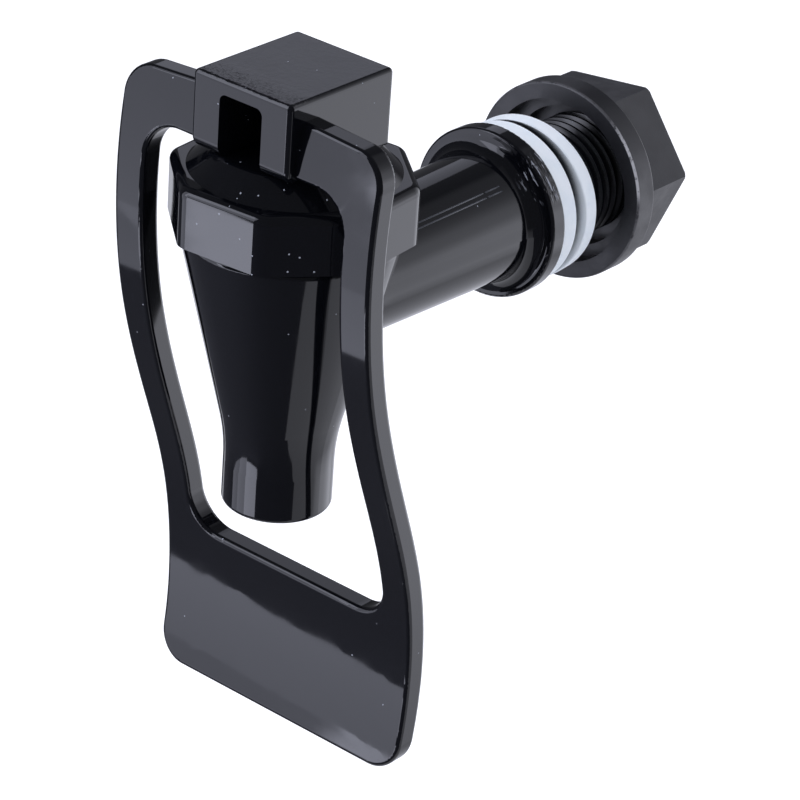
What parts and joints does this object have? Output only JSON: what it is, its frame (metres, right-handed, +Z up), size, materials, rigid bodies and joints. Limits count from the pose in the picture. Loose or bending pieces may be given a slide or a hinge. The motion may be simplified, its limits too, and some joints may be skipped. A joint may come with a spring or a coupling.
{
  "type": "beverage dispenser faucet",
  "caption": "Beverage dispenser faucet: an open frame handle tilts on an octagonal bonnet and lifts a sprung valve over the spout; flanged threaded shank with washers and a hex nut.",
  "frame": {"origin": "centre of the flange's rear face, on the shank's axis, where the front washer seats", "axes": "+Y runs along the threaded shank into the dispenser, +Z is up, +X is to the right of someone who faces the faucet from the front, so the front faces -Y"},
  "size_m": [0.0528, 0.1028, 0.1157],
  "materials": {
    "body_plastic": "glossy black moulded plastic",
    "bonnet_plastic": "glossy black moulded plastic",
    "handle_plastic": "glossy black moulded plastic, with a fine wavy texture on the hub's top",
    "nut_plastic": "satin black moulded plastic",
    "stem_plastic": "satin black acetal",
    "cup_silicone": "translucent white silicone",
    "washer_silicone": "matte white silicone",
    "spring_steel": "drawn stainless steel wire",
    "pin_steel": "ground stainless steel"
  },
  "bodies": {
    "faucet": {"faucet_body": "body_plastic", "bonnet": "bonnet_plastic", "washer_front": "washer_silicone", "washer_rear": "washer_silicone"},
    "nut": {"mounting_nut": "nut_plastic"},
    "stem": {"stem": "stem_plastic", "seat_cup": "cup_silicone", "return_spring": "spring_steel"},
    "handle": {"handle": "handle_plastic", "handle_pin": "pin_steel"}
  },
  "joints": [
    {"name": "stem_lift", "type": "slide", "parent": "faucet", "child": "stem", "axis": [0, 0, 1], "range_m": [0, 0.0035], "stiffness_N_per_m": 600, "springref_m": -0.009, "deforming": ["return_spring", "seat_cup"]},
    {"name": "handle_tilt", "type": "hinge", "parent": "stem", "child": "handle", "pos_m": [0, -0.051, 0.0315], "axis": [1, 0, 0], "range_deg": [0, 18]},
    {"name": "nut_travel", "type": "slide", "parent": "faucet", "child": "nut", "axis": [0, 1, 0], "range_m": [-0.0095, 0.0085]}
  ],
  "couplings": [
    {"joint": "stem_lift", "follows": "handle_tilt", "m_per_rad": 0.0105}
  ]
}
